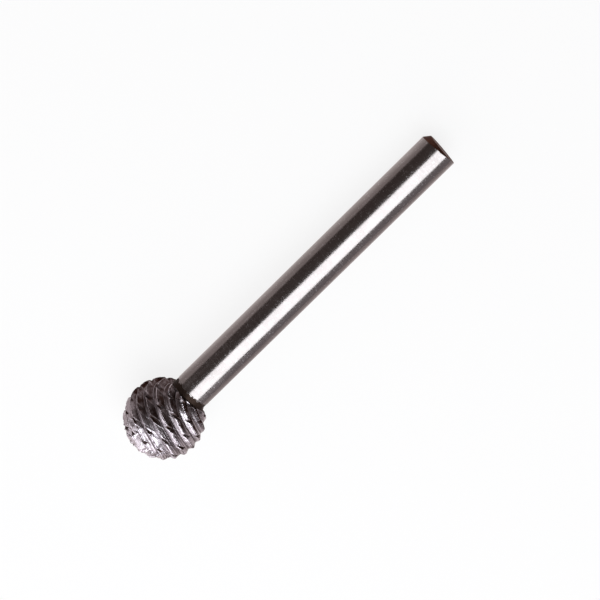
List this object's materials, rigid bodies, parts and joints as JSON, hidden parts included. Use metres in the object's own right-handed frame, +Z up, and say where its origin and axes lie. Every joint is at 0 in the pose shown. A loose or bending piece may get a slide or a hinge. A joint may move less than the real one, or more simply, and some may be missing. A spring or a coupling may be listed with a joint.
{
  "type": "ball burr",
  "caption": "Solid steel rotary burr: a ball head with crossed helical teeth on a plain round shank, lying on its side.",
  "frame": {"origin": "on the surface that the burr lies on, under the middle of its length, in the vertical plane through its axis", "axes": "+X points from the ball towards the shank's free end and the burr's axis slopes down 3.3 degrees along it, +Y is level across the burr, +Z is up"},
  "size_m": [0.065, 0.0126, 0.0127],
  "materials": {
    "high_speed_steel": "ground and polished shank, sharp ground teeth"
  },
  "bodies": {
    "root": {"ball_burr": "high_speed_steel"}
  },
  "joints": []
}
